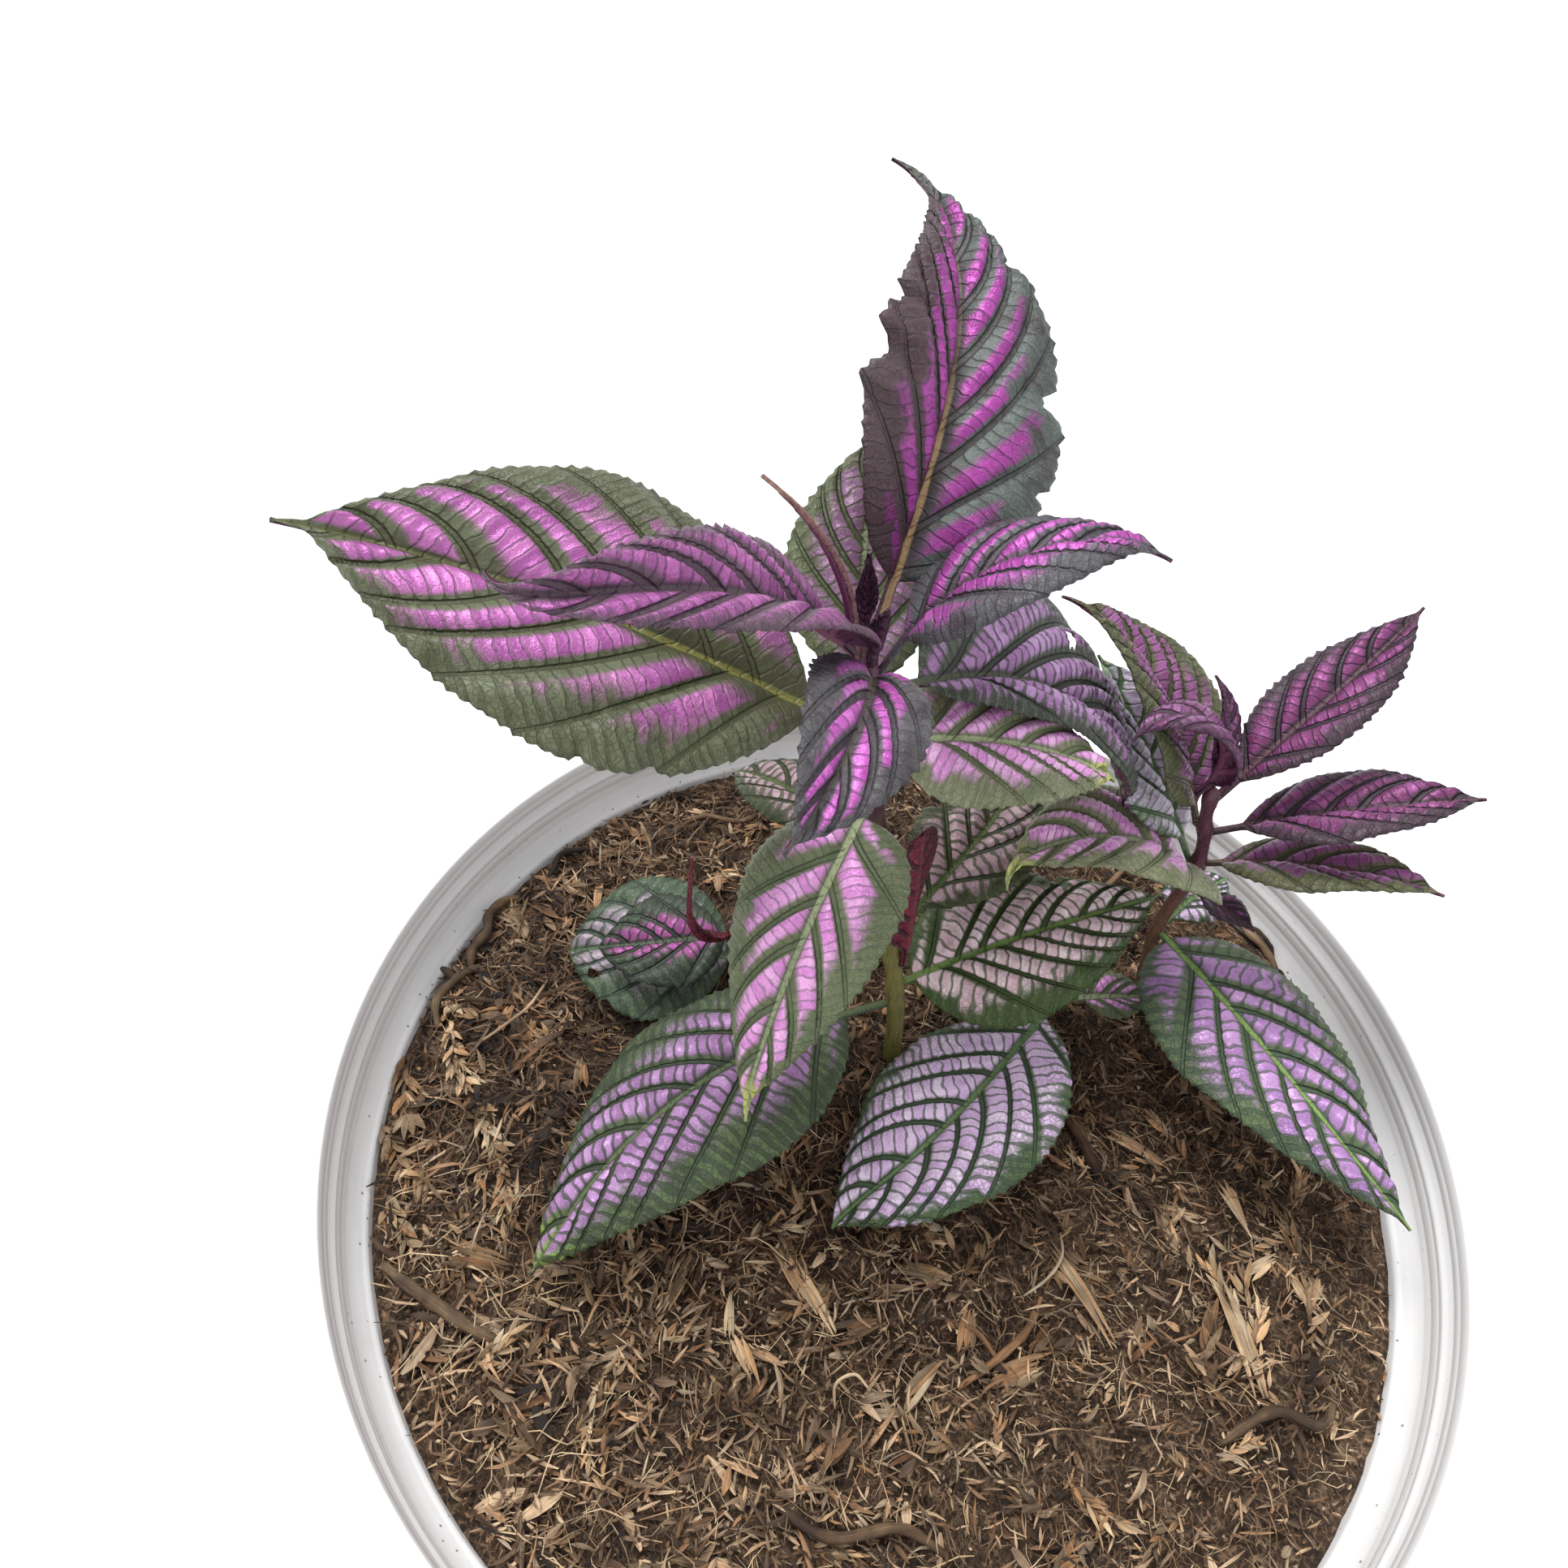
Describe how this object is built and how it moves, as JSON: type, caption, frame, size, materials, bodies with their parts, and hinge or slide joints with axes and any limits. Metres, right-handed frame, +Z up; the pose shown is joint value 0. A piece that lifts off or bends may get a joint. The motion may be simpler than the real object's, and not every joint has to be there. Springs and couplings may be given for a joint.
{
  "type": "potted persian shield plant",
  "caption": "Leafy houseplant with quilted purple and green leaves on upright stems, standing in soil in a round white tapered pot.",
  "frame": {"origin": "centre of the pot's flat base, on the surface that it stands on", "axes": "+Z up, along the pot's axis; +Y away from the picture's camera, +X to the right"},
  "size_m": [0.28, 0.28, 0.3627],
  "materials": {
    "pot": "white moulded plastic, satin",
    "soil": "coir and bark potting mix, matt",
    "stem": "green brown stem, finely hairy",
    "leaf": "quilted leaf, satin with a metallic sheen of pink and lilac between green veins",
    "young_leaf": "young maroon leaf, satin"
  },
  "bodies": {
    "root": {"pot": "pot", "soil": "soil", "stem_main": "stem", "stem_right": "stem", "stem_left": "stem", "stem_low": "stem", "leaf_main_upright": "leaf", "leaf_main_upper_right": "leaf", "leaf_main_young_left": "leaf", "leaf_main_big_left": "leaf", "leaf_main_front": "leaf", "leaf_main_right_front": "leaf", "leaf_main_back": "leaf", "leaf_main_right_back": "leaf", "leaf_main_hanging": "leaf", "leaf_main_low_left": "leaf", "leaf_main_low_right": "leaf", "leaf_main_shaded": "leaf", "leaf_main_maroon": "young_leaf", "leaf_main_back_left": "leaf", "leaf_main_sliver": "young_leaf", "leaf_main_bud_front": "young_leaf", "leaf_main_bud_back": "young_leaf", "leaf_right_tall": "leaf", "leaf_right_curled": "young_leaf", "leaf_right_sliver": "young_leaf", "leaf_right_up": "leaf", "leaf_right_outer": "leaf", "leaf_right_outer_low": "leaf", "leaf_right_arched": "leaf", "leaf_right_back": "leaf", "leaf_right_big_low": "leaf", "leaf_right_small": "leaf", "leaf_right_small_tip": "leaf", "leaf_low_front": "leaf", "leaf_low_small": "leaf", "leaf_left_large": "leaf", "leaf_left_small": "leaf", "leaf_left_sliver": "young_leaf"}
  },
  "joints": []
}
